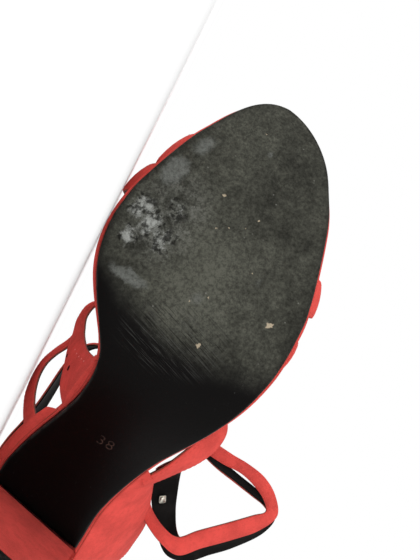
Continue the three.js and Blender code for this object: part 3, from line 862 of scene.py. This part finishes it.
# Marks on the sole: share of the length, share of the ball width, half length along the sole and half
# width across it in millimetres, turn in degrees and strength
RUBBED = [
    [0.780, -0.375, 11, 7.0, 12, 1.00],
    [0.842, -0.325, 10, 6.0, 20, 0.62],
    [0.606, -0.285, 4.0, 12, 0, 0.90],
    [0.701, 0.224, 4.0, 2.4, 0, 0.34],
    [0.893, -0.036, 4.0, 2.6, 0, 0.55],
    [0.630, 0.020, 6, 5, 0, 0.42],
]
# Chalky marks on the ball, partly chalky scuffs and partly a painted sheen highlight
CHALKY_AND_PAINTED_SHEEN = [
    [0.704, -0.400, 8.5, 8.0, 0, 1.00],
    [0.690, -0.335, 10, 7.5, 0, 1.00],
    [0.656, -0.390, 6.5, 5.0, 0, 1.00],
    [0.674, -0.250, 9, 7.5, 0, 0.82],
    [0.725, -0.260, 9, 8.0, 0, 0.55],
]
CHIPS = [
    [0.654, 0.362, 1.9, 1.6, 30, 1.00],
    [0.575, 0.134, 1.3, 1.1, 0, 0.90],
    [0.788, -0.122, 1.4, 0.9, 0, 0.55],
    [0.783, 0.080, 0.7, 0.6, 0, 0.90],
    [0.748, -0.024, 0.6, 0.5, 0, 0.80],
    [0.737, -0.070, 0.6, 0.5, 0, 0.70],
    [0.762, 0.045, 0.5, 0.5, 0, 0.70],
    [0.707, 0.178, 0.6, 0.5, 0, 0.90],
    [0.924, -0.105, 0.5, 0.5, 0, 0.80],
    [0.622, 0.000, 0.8, 0.6, 0, 0.60],
    [0.640, 0.060, 0.7, 0.6, 0, 0.60],
]


def marks(sole, vector, table):
    """The strongest of a table's oval patches at each place on the sole."""
    strongest = None
    for at, across, length, width, turn, strength in table:
        centre = (at * SOLE_LENGTH / 1000, across * BALL_WIDTH / 1000)
        patch = sole.spot(vector, centre, (length / 1000, width / 1000), math.radians(turn)) * strength
        strongest = patch if strongest is None else strongest.most(patch)
    return strongest


def worn_rubber(look):
    """Near-black rubber, worn olive grey before the waist, with chalky scuffs that are partly a painted
    sheen highlight, scratches, pale chips and a painted highlight along the bevel.
    """
    sole = Surface("worn_rubber", 0.5, specular=0.07)
    shoe = sole.shoe_map()
    place = sole.place()
    cloud = sole.noise(place, 48, 6, 0.62)
    patchy = sole.noise(place, 230, 6, 0.7)
    scuffed = sole.noise(place, 760, 6, 0.8).ramp(0.34, 0.68)
    grit = sole.noise(place, 1500, 3, 0.7)
    black, worn = tuple(look.rubber), tuple(look.worn)
    rim = sole.attribute("rim_distance")

    # The wear begins at an arc across the waist and fades towards the rim
    ragged = sole.bent(shoe, place, 90, 0.007)
    across = sole.part(ragged, 1) - 0.010
    before_waist = sole.part(ragged, 0) - across * across * 7
    wear = before_waist.ramp(0.1325, 0.1470) * (0.45 + 0.55 * rim.ramp(0.0, 0.0028))
    ball = sole.spot(ragged, (0.163, 0.002), (0.040, 0.030))
    inner = sole.part(shoe, 1).ramp(0.018, -0.018)
    depth = 0.24 + 0.24 * cloud.ramp(0.36, 0.66) + 0.22 * patchy.ramp(0.36, 0.68)
    depth = depth + 0.42 * ball + 0.08 * inner
    tone = sole.mix((wear * depth * (0.24 + 0.92 * scuffed + 0.55 * grit)).least(1.0), black, worn)

    # Grey patches rubbed smooth, with ragged edges
    rubbed = marks(sole, sole.bent(shoe, place, 240, 0.005), RUBBED)
    rubbed = (rubbed * (0.65 + 0.8 * patchy)).ramp(0.16, 0.62) * (0.35 + 0.65 * scuffed)
    tone = sole.mix(rubbed * 0.9, tone, (0.128, 0.134, 0.124))

    # A hazy patch of fine scuffs with a painted sheen highlight on the ball, and in it chalky scuffs broken
    # into clumps, partly a painted highlight too
    haze_and_painted_sheen = sole.spot(ragged, (0.179, -0.023), (0.028, 0.020)).ramp(0.0, 0.7)
    haze_and_painted_sheen = haze_and_painted_sheen * scuffed * patchy.ramp(0.34, 0.62)
    # Lighter grey, partly fine scuffs and partly a painted sheen highlight on the ball
    tone = sole.mix(haze_and_painted_sheen * 0.60, tone, (0.150, 0.152, 0.138))
    clumps = sole.noise(sole.bent(place, place, 300, 0.004), 430, 9, 0.82)
    chalk_and_painted_sheen = marks(sole, sole.bent(shoe, place, 150, 0.009), CHALKY_AND_PAINTED_SHEEN)
    gaps = sole.noise(place, 330, 4, 0.6).ramp(0.60, 0.44)
    tone = sole.mix(chalk_and_painted_sheen.ramp(0.0, 0.5) * gaps.ramp(0.9, 0.2) * 0.75, tone, black)
    chalk_and_painted_sheen = (chalk_and_painted_sheen * 0.32 + clumps).ramp(0.61, 0.88) * (0.15 + 0.85 * gaps)
    # Pale grey that is partly chalky scuffs and partly a painted sheen highlight on the ball
    tone = sole.mix(chalk_and_painted_sheen * 0.85, tone, (0.33, 0.34, 0.32))

    # Fine scratches across the edge of the waist
    lines = sole.noise(sole.moved(sole.moved(shoe, turn=-0.28), scale=(2300, 70, 1)), 1.0, 3, 0.6)
    zone = sole.spot(shoe, (0.1415, 0.003), (0.019, 0.028), -0.28).ramp(0.0, 0.6) * (0.5 + 0.9 * patchy)
    scratch = (lines.ramp(0.52, 0.64) * zone).least(1.0)
    tone = sole.mix(scratch * 0.42, tone, (0.066, 0.067, 0.062))
    tone = sole.mix(lines.ramp(0.47, 0.38) * zone.least(1.0) * 0.7, tone, black)

    # A few pale chips, and dust specks all over the worn part
    chips = marks(sole, sole.bent(shoe, place, 620, 0.0030), CHIPS).ramp(0.08, 0.45)
    tone = sole.mix(chips * (0.45 + 0.75 * grit), tone, (0.40, 0.33, 0.235))
    speck = sole.cells(place, 260).ramp(0.11, 0.05) * sole.cells(place, 260, "Color").ramp(0.62, 0.70)
    tone = sole.mix(speck * wear * 0.5, tone, (0.20, 0.20, 0.18))

    # The bevel is painted a little lighter than the rim: a painted highlight along the edge
    tone = sole.mix(rim.ramp(0.0012, 0.0002) * patchy.ramp(0.35, 0.6) * 0.30, tone, (0.06, 0.061, 0.055))
    sole.colour(tone)
    sole.rough((0.44 + 0.36 * wear - 0.14 * rubbed + 0.2 * chalk_and_painted_sheen).least(0.95))
    sole.bump(grit * 0.5 + patchy * wear + chalk_and_painted_sheen * 0.6 - scratch * 0.8, 0.35, 0.0004)


# Trees of nodes that repeat small things

def new_tree(name, *lengths):
    """A tree that takes geometry, named lengths and a material, and gives geometry."""
    tree = bpy.data.node_groups.new(name, "GeometryNodeTree")
    inputs = {"Geometry": "Geometry", **dict.fromkeys(lengths, "Float"), "Material": "Material"}
    for label, kind in inputs.items():
        tree.interface.new_socket(label, in_out="INPUT", socket_type="NodeSocket" + kind)
    tree.interface.new_socket("Geometry", in_out="OUTPUT", socket_type="NodeSocketGeometry")
    return tree


def tree_node(tree, kind, settings=None, values=None):
    """Adds a node with its settings and inputs, and returns its outputs."""
    made = tree.nodes.new(kind)
    for key, value in (settings or {}).items():
        setattr(made, key, value)
    for key, value in (values or {}).items():
        if isinstance(value, bpy.types.NodeSocket):
            tree.links.new(value, made.inputs[key])
        else:
            made.inputs[key].default_value = value
    return made.outputs


def copies_on(tree, points, thing, axis, way, size, material):
    """Ends a tree in copies of a thing on points, each with one axis along a way."""
    turn = tree_node(tree, "FunctionNodeAlignRotationToVector", {"axis": axis}, {"Vector": way})
    scale = tree_node(tree, "ShaderNodeCombineXYZ", None, dict(enumerate(size)))
    row = tree_node(tree, "GeometryNodeInstanceOnPoints", None,
                    {"Points": points, "Instance": thing, "Rotation": turn[0], "Scale": scale[0]})
    real = tree_node(tree, "GeometryNodeRealizeInstances", None, {0: row[0]})
    dressed = tree_node(tree, "GeometryNodeSetMaterial", None, {"Geometry": real[0], "Material": material})
    tree.links.new(dressed[0], tree.nodes.new("NodeGroupOutput").inputs[0])
    return tree


def stitch_tree():
    """Stitches of one length at an even pitch along every line of the mesh."""
    tree = new_tree("stitch_row", "Pitch", "Length", "Thickness")
    given = tree_node(tree, "NodeGroupInput")
    line = tree_node(tree, "GeometryNodeMeshToCurve", None, {0: given["Geometry"]})
    even = tree_node(tree, "GeometryNodeResampleCurve", {"mode": "LENGTH"},
                     {"Curve": line[0], "Length": given["Pitch"]})
    way = tree_node(tree, "GeometryNodeInputTangent")
    bead = tree_node(tree, "GeometryNodeMeshIcoSphere", None, {"Radius": 0.5, "Subdivisions": 1})
    size = (given["Length"], given["Thickness"], given["Thickness"])
    return copies_on(tree, even[0], bead[0], "X", way[0], size, given["Material"])


def hole_tree():
    """A shallow disc at every point, square to the surface under it."""
    tree = new_tree("punched_holes", "Depth")
    given = tree_node(tree, "NodeGroupInput")
    facing = tree_node(tree, "GeometryNodeInputNamedAttribute", {"data_type": "FLOAT_VECTOR"},
                       {"Name": "facing"})
    radius = tree_node(tree, "GeometryNodeInputNamedAttribute", {"data_type": "FLOAT"}, {"Name": "radius"})
    disc = tree_node(tree, "GeometryNodeMeshCylinder", None, {"Vertices": 20, "Radius": 1.0, "Depth": 1.0})
    size = (radius[0], radius[0], given["Depth"])
    return copies_on(tree, given["Geometry"], disc[0], "Z", facing[0], size, given["Material"])


def through_tree(obj, tree, values):
    """Runs a tree on the object and returns a plain object with the mesh that it makes."""
    modifier = obj.modifiers.new(tree.name, "NODES")
    modifier.node_group = tree
    for item in tree.interface.items_tree:
        if item.in_out == "INPUT" and item.name in values:
            modifier[item.identifier] = values[item.name]
    return evaluated_copy(obj)


def line_object(name, lines):
    """An object of open lines, or of lone points where a line has only one."""
    points, edges = [], []
    for line in lines:
        start = len(points)
        points += laid(line).tolist()
        edges += [(start + i, start + i + 1) for i in range(len(line) - 1)]
    mesh = bpy.data.meshes.new(name)
    mesh.from_pydata(points, edges, [])
    return new_object(name, mesh)


# The photo's viewpoint in the shoe's own frame in millimetres, and the camera's roll in degrees
CAMERA_EYE = (99.8, -7.25, -167.1)
CAMERA_AIM = (147.2, 2.25, 0.0)
CAMERA_ROLL = -116.7
CAMERA_LENS = 41.14

# Soft lights in metres and watts: place, size and power
LIGHTS = {
    "key_light": ((0.45, -1.1, 0.85), 0.9, 0.5),
    "low_light": ((-0.10, -0.9, 0.06), 0.35, 3.0),
    "fill_light": ((-0.9, -0.6, 0.5), 0.8, 0.8),
    "back_light": ((0.3, 0.9, 0.9), 1.0, 1.6),
}
LIGHT_AIM = (0, -0.02, 0.06)
FLOOR_REACH = 60


def look_along(way, roll=0.0):
    """A turn that points an object's own -Z along a way, rolled in degrees from level."""
    way = np.array(way) / np.linalg.norm(way)
    right = np.cross(way, (0, 0, 1))
    right /= np.linalg.norm(right)
    level = Matrix(np.array([right, np.cross(right, way), -way]).T.tolist())
    return (level @ Matrix.Rotation(math.radians(-roll), 3, "Z")).to_4x4()


# Settings

def colour_setting(name, description, colour):
    return FloatVectorProperty(name=name, description=description, subtype="COLOR", default=colour,
                               min=0, max=1)


def length_setting(name, description, default, least, most):
    return FloatProperty(name=name, description=description, default=default, min=least, max=most,
                         unit="LENGTH", precision=5)


class SandalLook(bpy.types.PropertyGroup):
    red: colour_setting("Red", "Colour of the suede", (0.60, 0.068, 0.056))
    lining: colour_setting("Lining", "Colour of the lining leather", (0.0050, 0.0045, 0.0042))
    edge: colour_setting("Cut edge", "Colour of the cut leather", (0.20, 0.065, 0.04))
    rubber: colour_setting("Rubber", "Colour of the unworn sole", (0.0016, 0.0012, 0.0011))
    worn: colour_setting("Worn rubber", "Colour of the sole at the ball", (0.085, 0.086, 0.069))


class SandalSizes(bpy.types.PropertyGroup):
    pitch: length_setting("Stitch pitch", "Distance between stitches", 0.0024, 0.001, 0.01)
    stitch: length_setting("Stitch length", "Length of one stitch", 0.0017, 0.0005, 0.01)
    yarn: length_setting("Thread", "Thickness of the thread", 0.00022, 0.0001, 0.002)
    margin: length_setting("Stitch margin", "Distance of the stitches from an edge", 0.0013, 0.0005, 0.004)
    number: length_setting("Number height", "Height of the stamped number", 0.0052, 0.002, 0.012)
    steps: IntProperty(name="Strap steps", description="Mesh steps between two rows of a strap", default=8,
                       min=2, max=24)


# Operators

class SANDAL_OT_finishes(bpy.types.Operator):
    """Makes the suede, lining, rubber and small finishes"""
    bl_idname = "sandal.finishes"
    bl_label = "Finishes"

    def execute(self, context):
        look = context.scene.sandal_look
        for maker in (red_suede, black_lining, small_finishes, worn_rubber):
            maker(look)
        return {"FINISHED"}


class SANDAL_OT_soles(bpy.types.Operator):
    """Makes the worn outsole and the lined insole"""
    bl_idname = "sandal.soles"
    bl_label = "Outsole and insole"

    def execute(self, context):
        outsole = sole_piece("outsole_worn", 0, OUTSOLE_THICKNESS, OUTSOLE_BEVEL, "worn_rubber")
        cut_at_breast(outsole)
        finish_piece(outsole, "outsole", slot="black_sole")
        top = INSOLE_LOW + INSOLE_THICKNESS
        insole = sole_piece("insole_lined", INSOLE_LOW, top, INSOLE_BEVEL, "lining_leather")
        finish_piece(insole, "insole", slot="black_lining")
        return {"FINISHED"}


class SANDAL_OT_number(bpy.types.Operator):
    """Stamps the size number into the waist of the sole"""
    bl_idname = "sandal.number"
    bl_label = "Stamped size number"

    def execute(self, context):
        curve = bpy.data.curves.new("stamped_number", "FONT")
        curve.body = "38"
        curve.size = context.scene.sandal_sizes.number * 1000 / FIGURE_SHARE
        curve.space_character = 1.1
        curve.offset = -0.13
        curve.extrude = 0.12
        plain = evaluated_copy(new_object("stamped_number", curve))
        points = np.array([v.co for v in plain.data.vertices])
        points[:, :2] -= (points[:, :2].min(0) + points[:, :2].max(0)) / 2
        at = NUMBER_AT + points[:, 1] / SOLE_LENGTH
        shoe = over_sole(at, NUMBER_SIDE + points[:, 0], -points[:, 2])
        plain.data.vertices.foreach_set("co", laid(shoe).ravel())
        dress(plain.data, "stamped_line")
        plain.data.update()
        finish_piece(plain, slot="black_sole")
        return {"FINISHED"}


class SANDAL_OT_heel(bpy.types.Operator):
    """Makes the covered heel and its tip"""
    bl_idname = "sandal.heel"
    bl_label = "Heel"

    def execute(self, context):
        rings = [heel_ring(level, HEEL_TIP_HEIGHT + GAP) for level in np.linspace(0, 1, HEEL_LEVELS)]
        finish_piece(ring_piece("heel_covered", rings, "napped_suede", sharp=40), "heel")
        heights = (0, TIP_BEVEL, HEEL_TIP_HEIGHT - TIP_BEVEL, HEEL_TIP_HEIGHT)
        rings = [heel_ring(0, height) for height in heights]
        middle = rings[0].mean(0)
        for ring in (rings[0], rings[-1]):
            ring[:, :2] += (middle[:2] - ring[:, :2]) * TIP_DRAWN_IN
        tip = ring_piece("heel_tip_lift", rings, "tip_rubber", sharp=60)
        finish_piece(tip, "heel_tip", slot="black_tip")
        return {"FINISHED"}


class SANDAL_OT_upper(bpy.types.Operator):
    """Makes the binding, the heel counter and all straps"""
    bl_idname = "sandal.upper"
    bl_label = "Upper"

    def execute(self, context):
        steps = context.scene.sandal_sizes.steps
        leather = ["napped_suede", "lining_leather", "cut_edge"]
        rim = rim_strip()
        steps_round = 4 * len(rim.lower)
        binding = strip_piece("rim_binding", rim, steps_round, leather[:1] * 3, GAP + BINDING_THICKNESS)
        finish_piece(binding, "upper")
        strips = [("heel_counter", counter_strip(), steps * (len(COUNTER) - 1)),
                  ("wing_tuck", wing_tuck_strip(), 4 * steps), ("panel_tuck", panel_tuck_strip(), 4 * steps)]
        strips += [(name, strap_strip(name), steps * (len(STRAPS[name][0]) - 1)) for name in STRAPS]
        for name, strip, count in strips:
            finish_piece(strip_piece(name, strip, count, leather), "upper")
        return {"FINISHED"}


class SANDAL_OT_stitches(bpy.types.Operator):
    """Sews the straps and the counter along their edges"""
    bl_idname = "sandal.stitches"
    bl_label = "Stitches"

    def execute(self, context):
        sizes = context.scene.sandal_sizes
        shares = np.linspace(0.01, 0.99, 160)
        lines = []
        for strip in [strap_strip(name) for name in STRAPS] + [counter_strip()]:
            low, high, _ = strip.edges(shares)
            inset = 1000 * sizes.margin / np.linalg.norm(high - low, axis=1)
            lines.append(strip.surface(shares, inset, LEATHER / 2 - STITCH_DEPTH)[0])
            lines.append(strip.surface(shares, 1 - inset, LEATHER / 2 - STITCH_DEPTH)[0])
        # The counter's lower edge is not sewn
        lines.pop(-2)
        values = {"Pitch": sizes.pitch, "Length": sizes.stitch, "Thickness": sizes.yarn,
                  "Material": bpy.data.materials["red_thread"]}
        finish_piece(through_tree(line_object("stitches", lines), stitch_tree(), values))
        return {"FINISHED"}


class SANDAL_OT_holes(bpy.types.Operator):
    """Punches the holes of the inner wing"""
    bl_idname = "sandal.holes"
    bl_label = "Punched holes"

    def execute(self, context):
        tree = hole_tree()
        strip = strap_strip("instep_strap")
        for name, table, material in (("punched_holes", DARK_HOLES, "punched_dark"),
                                      ("pricked_holes", PALE_PRICKS, "pricked_pale")):
            at, across, radius = np.array(table).T
            points, facing = strip.surface(at, across, LEATHER / 2 - HOLE_DEPTH)
            obj = line_object(name, points[:, None])
            new = obj.data.attributes.new
            new("facing", "FLOAT_VECTOR", "POINT").data.foreach_set("vector", (facing @ LAID).ravel())
            new("radius", "FLOAT", "POINT").data.foreach_set("value", radius / 1000)
            values = {"Depth": HOLE_THICKNESS / 1000, "Material": bpy.data.materials[material]}
            finish_piece(through_tree(obj, tree, values))
        return {"FINISHED"}


class SANDAL_OT_stud(bpy.types.Operator):
    """Makes the small square stud on the lining of the rear ankle strap"""
    bl_idname = "sandal.stud"
    bl_label = "Stud"

    def execute(self, context):
        mesh = frame["nodes"]["stud"].data.copy()
        dress(mesh, "stud_metal")
        obj = new_object("strap_stud", mesh)
        edit = bmesh_of(obj)
        bmesh.ops.remove_doubles(edit, verts=edit.verts, dist=1e-6)
        bmesh.ops.dissolve_limit(edit, angle_limit=0.01, verts=edit.verts, edges=edit.edges)
        bmesh.ops.bevel(edit, geom=edit.edges[:], offset=STUD_BEVEL / 1000, segments=2, affect="EDGES")
        edit.to_mesh(obj.data)
        edit.free()
        finish_piece(obj, "stud", slot="pale_metal")
        return {"FINISHED"}


class SANDAL_OT_stage(bpy.types.Operator):
    """Sets the pale floor, the soft lights and the camera"""
    bl_idname = "sandal.stage"
    bl_label = "Stage"

    def execute(self, context):
        scene = context.scene
        scene.view_settings.view_transform = "Standard"
        pale = Surface("pale_floor", 1.0, specular=0.0)
        pale.colour((0.97, 0.97, 0.97))
        corners = [(x * FLOOR_REACH, y * FLOOR_REACH, 0) for x, y in ((-1, -1), (1, -1), (1, 1), (-1, 1))]
        mesh = bpy.data.meshes.new("floor")
        mesh.from_pydata(corners, [], [(0, 1, 2, 3)])
        dress(mesh, "pale_floor")
        new_object("floor", mesh)
        world = bpy.data.worlds.new("studio")
        world.use_nodes = True
        world.node_tree.nodes["Background"].inputs["Color"].default_value = (1, 1, 1, 1)
        scene.world = world
        for name, (place, size, energy) in LIGHTS.items():
            data = bpy.data.lights.new(name, "AREA")
            data.size = size
            data.energy = energy
            way = np.array(LIGHT_AIM) - np.array(place)
            new_object(name, data).matrix_world = Matrix.Translation(place) @ look_along(way)
        data = bpy.data.cameras.new("photo_view")
        data.sensor_fit = "HORIZONTAL"
        data.sensor_width = 36
        data.lens = CAMERA_LENS
        data.clip_start = 0.001
        eye, aim = laid(CAMERA_EYE), laid(CAMERA_AIM)
        scene.camera = new_object("photo_view", data)
        scene.camera.matrix_world = Matrix.Translation(eye) @ look_along(aim - eye, CAMERA_ROLL)
        return {"FINISHED"}


STEPS = (SANDAL_OT_finishes, SANDAL_OT_soles, SANDAL_OT_number, SANDAL_OT_heel, SANDAL_OT_upper,
         SANDAL_OT_stitches, SANDAL_OT_holes, SANDAL_OT_stud, SANDAL_OT_stage)


class SANDAL_PT_panel(bpy.types.Panel):
    """Lists the sandal's settings and steps"""
    bl_idname = "SANDAL_PT_panel"
    bl_label = "Sandal"
    bl_space_type = "VIEW_3D"
    bl_region_type = "UI"
    bl_category = "Sandal"

    def draw(self, context):
        for group in (context.scene.sandal_look, context.scene.sandal_sizes):
            for name in group.__annotations__:
                self.layout.prop(group, name)
        for step in STEPS:
            self.layout.operator(step.bl_idname)


CLASSES = (SandalLook, SandalSizes, *STEPS, SANDAL_PT_panel)


def register():
    for cls in CLASSES:
        bpy.utils.register_class(cls)
    bpy.types.Scene.sandal_look = PointerProperty(type=SandalLook)
    bpy.types.Scene.sandal_sizes = PointerProperty(type=SandalSizes)


def unregister():
    del bpy.types.Scene.sandal_sizes
    del bpy.types.Scene.sandal_look
    for cls in reversed(CLASSES):
        bpy.utils.unregister_class(cls)


def main():
    register()
    for step in STEPS:
        group, name = step.bl_idname.split(".")
        getattr(getattr(bpy.ops, group), name)()
    bpy.context.view_layer.update()


if __name__ == "__main__":
    main()
